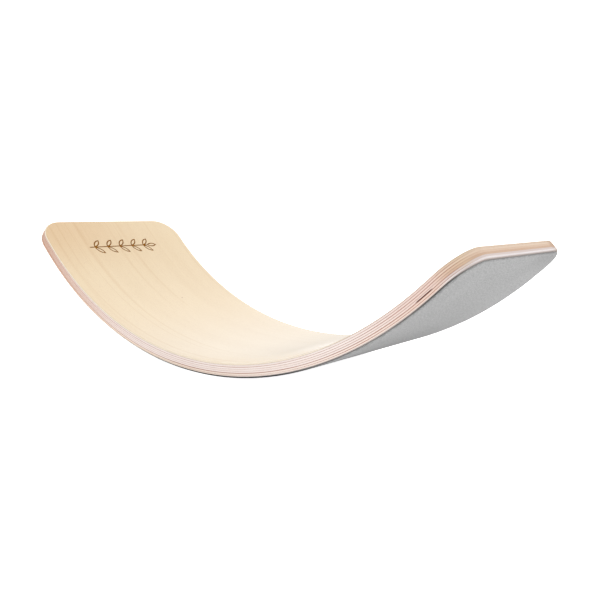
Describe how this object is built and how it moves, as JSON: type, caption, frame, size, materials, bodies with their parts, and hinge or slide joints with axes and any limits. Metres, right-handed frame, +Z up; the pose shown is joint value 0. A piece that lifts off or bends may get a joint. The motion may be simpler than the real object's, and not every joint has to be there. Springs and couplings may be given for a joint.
{
  "type": "balance board",
  "caption": "Curved laminated beech rocker board to stand, sit or rock on, with softened edges, rounded corners and a felt-covered underside.",
  "frame": {"origin": "middle of the board, on the line where the felt touches the floor", "axes": "+X along the board's length, +Y across its width, +Z up; the board is symmetric about the XZ and YZ planes"},
  "size_m": [0.8164, 0.3, 0.2007],
  "materials": {
    "beech_top_face": "pale beech veneer, clear matte lacquer, grain along the board",
    "beech_core_cross": "beech veneer with its grain across the board, cut and sanded edge",
    "beech_core_long": "beech veneer with its grain along the board, cut and sanded edge",
    "beech_bottom_face": "pale beech veneer, clear matte lacquer, grain along the board",
    "glue_film": "cured veneer glue, reddish at the cut edge",
    "felt_adhesive": "thin dark adhesive film",
    "felt": "dense pressed felt, mid grey, finely mottled"
  },
  "bodies": {
    "root": {"top_face_ply": "beech_top_face", "core_ply_1": "beech_core_cross", "core_ply_2": "beech_core_long", "core_ply_3": "beech_core_cross", "core_ply_4": "beech_core_long", "core_ply_5": "beech_core_cross", "bottom_face_ply": "beech_bottom_face", "glue_line_1": "glue_film", "glue_line_2": "glue_film", "glue_line_3": "glue_film", "glue_line_4": "glue_film", "glue_line_5": "glue_film", "glue_line_6": "glue_film", "felt_adhesive": "felt_adhesive", "felt_pad": "felt"}
  },
  "joints": []
}
